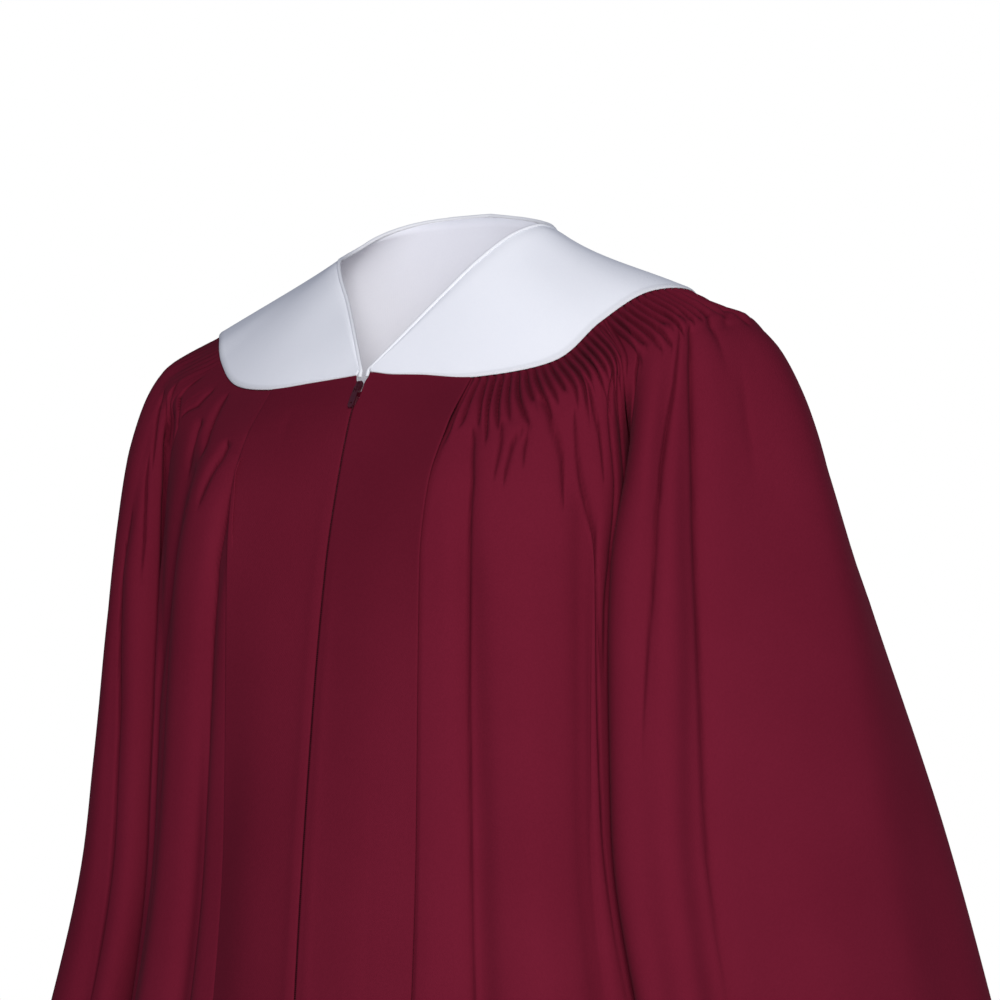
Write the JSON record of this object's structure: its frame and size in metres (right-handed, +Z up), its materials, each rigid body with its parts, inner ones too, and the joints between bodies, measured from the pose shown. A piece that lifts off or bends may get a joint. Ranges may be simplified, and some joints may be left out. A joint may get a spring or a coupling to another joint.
{
  "type": "choir robe",
  "caption": "Full-length choir robe with a contrasting shoulder yoke, fluted gathers, bell sleeves, V neck and a centre-front zip, standing hollow as if worn.",
  "frame": {"origin": "midway between the two side-neck points, where the robe rests on the wearer's shoulders", "axes": "+Z up, -Y to the front of the robe, +X to the wearer's left"},
  "size_m": [0.7806, 0.531, 1.3497],
  "materials": {
    "robe_cloth": "matte maroon polyester twill with a soft, slight sheen",
    "yoke_cloth": "white polyester twill, matte, smooth",
    "facing_cloth": "white facing, matte",
    "neck_edge_cloth": "white rolled neck edge, matte",
    "zip_tape": "maroon woven zip tape",
    "zip_metal": "maroon lacquered slider and pull"
  },
  "bodies": {
    "robe": {"yoke": "yoke_cloth", "yoke_facing": "facing_cloth", "neck_edge": "neck_edge_cloth", "front_panel_left": "robe_cloth", "front_panel_right": "robe_cloth", "side_front_left": "robe_cloth", "side_front_right": "robe_cloth", "back": "robe_cloth", "sleeve_left": "robe_cloth", "sleeve_right": "robe_cloth", "zip_tape_left": "zip_tape", "zip_tape_right": "zip_tape", "zip_slider": "zip_metal"},
    "pull": {"zip_pull": "zip_metal"}
  },
  "joints": [
    {"name": "zip_pull_hinge", "type": "hinge", "parent": "robe", "child": "pull", "pos_m": [0, -0.11169, -0.11994], "axis": [-1, 0, 0], "range_deg": [0, 150]}
  ]
}
